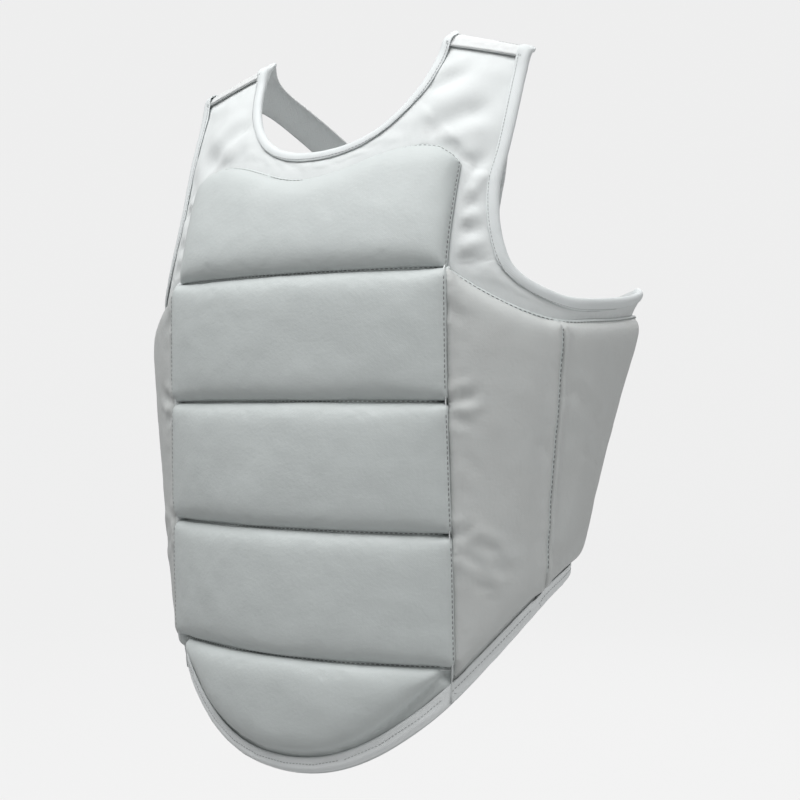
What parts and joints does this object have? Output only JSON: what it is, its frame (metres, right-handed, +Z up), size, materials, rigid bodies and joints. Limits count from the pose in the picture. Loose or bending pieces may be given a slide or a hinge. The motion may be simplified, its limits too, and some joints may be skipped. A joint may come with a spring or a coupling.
{
  "type": "body protector",
  "caption": "Padded torso guard worn like a short vest: quilted foam channels in front, foam side panels, a thin cloth yoke, taped edges and crossing back straps.",
  "frame": {"origin": "midway between the shoulders, level with the body under the shoulder straps", "axes": "+Z up, -Y the way the wearer faces, +X to the wearer's left"},
  "size_m": [0.3714, 0.2588, 0.507],
  "materials": {
    "pad_cover": "smooth coated cover cloth with a soft sheen",
    "side_cover": "smooth coated cover cloth with a soft sheen",
    "yoke_cloth": "fine woven cloth",
    "back_cloth": "fine woven cloth",
    "strap_cloth": "woven strap",
    "edge_tape": "ribbed bias tape"
  },
  "bodies": {
    "root": {"chest_pad": "pad_cover", "upper_rib_pad": "pad_cover", "lower_rib_pad": "pad_cover", "belly_pad": "pad_cover", "tongue_pad": "pad_cover", "left_front_side_pad": "side_cover", "right_front_side_pad": "side_cover", "left_rear_side_pad": "side_cover", "right_rear_side_pad": "side_cover", "yoke": "yoke_cloth", "back_panel": "back_cloth", "left_back_strap": "strap_cloth", "right_back_strap": "strap_cloth", "neck_binding": "edge_tape", "left_armhole_binding": "edge_tape", "right_armhole_binding": "edge_tape", "hem_binding": "edge_tape"}
  },
  "joints": []
}
